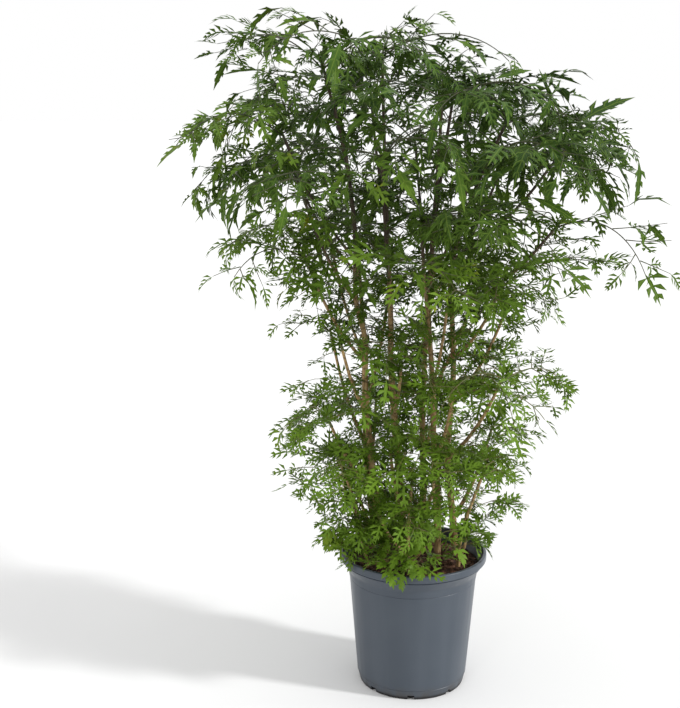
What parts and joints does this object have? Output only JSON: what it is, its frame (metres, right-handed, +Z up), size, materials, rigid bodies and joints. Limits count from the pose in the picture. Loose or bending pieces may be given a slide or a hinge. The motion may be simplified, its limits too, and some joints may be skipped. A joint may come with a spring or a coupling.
{
  "type": "potted ming aralia",
  "caption": "Potted ming aralia: slender woody stems with arching, finely cut compound leaves, standing in bark soil in a round tapered plastic nursery pot.",
  "frame": {"origin": "middle of the pot's underside, on the floor", "axes": "+Z up along the pot's axis; -Y faces the picture's camera; +X is to its right"},
  "size_m": [0.7226, 0.689, 1.0656],
  "materials": {
    "slate_plastic": "satin",
    "bark_soil": "matte",
    "bark": "matte",
    "leaf_green": "satin"
  },
  "bodies": {
    "root": {"pot": "slate_plastic", "soil": "bark_soil", "stem_left": "bark", "stem_middle": "bark", "stem_centre": "bark", "stem_right": "bark", "stem_back": "bark", "stem_left_back": "bark", "stem_left_shoot": "bark", "stem_front_shoot": "bark", "stem_right_shoot": "bark", "spray_left_1": "leaf_green", "spray_left_2": "leaf_green", "spray_left_3": "leaf_green", "spray_left_4": "leaf_green", "spray_left_5": "leaf_green", "spray_left_6": "leaf_green", "spray_middle_1": "leaf_green", "spray_middle_2": "leaf_green", "spray_middle_3": "leaf_green", "spray_middle_4": "leaf_green", "spray_middle_5": "leaf_green", "spray_middle_6": "leaf_green", "spray_centre_1": "leaf_green", "spray_centre_2": "leaf_green", "spray_centre_3": "leaf_green", "spray_centre_4": "leaf_green", "spray_centre_5": "leaf_green", "spray_centre_6": "leaf_green", "spray_right_1": "leaf_green", "spray_right_2": "leaf_green", "spray_right_3": "leaf_green", "spray_right_4": "leaf_green", "spray_right_5": "leaf_green", "spray_right_6": "leaf_green", "spray_right_7": "leaf_green", "spray_back_1": "leaf_green", "spray_back_2": "leaf_green", "spray_back_3": "leaf_green", "spray_back_4": "leaf_green", "spray_back_5": "leaf_green", "spray_back_6": "leaf_green", "spray_back_7": "leaf_green", "spray_left_back_1": "leaf_green", "spray_left_back_2": "leaf_green", "spray_left_back_3": "leaf_green", "spray_left_back_4": "leaf_green", "spray_left_back_5": "leaf_green", "spray_left_back_6": "leaf_green", "spray_left_back_7": "leaf_green", "spray_left_shoot_1": "leaf_green", "spray_left_shoot_2": "leaf_green", "spray_front_shoot_1": "leaf_green", "spray_front_shoot_2": "leaf_green", "spray_front_shoot_3": "leaf_green", "spray_right_shoot_1": "leaf_green", "spray_right_shoot_2": "leaf_green"}
  },
  "joints": []
}
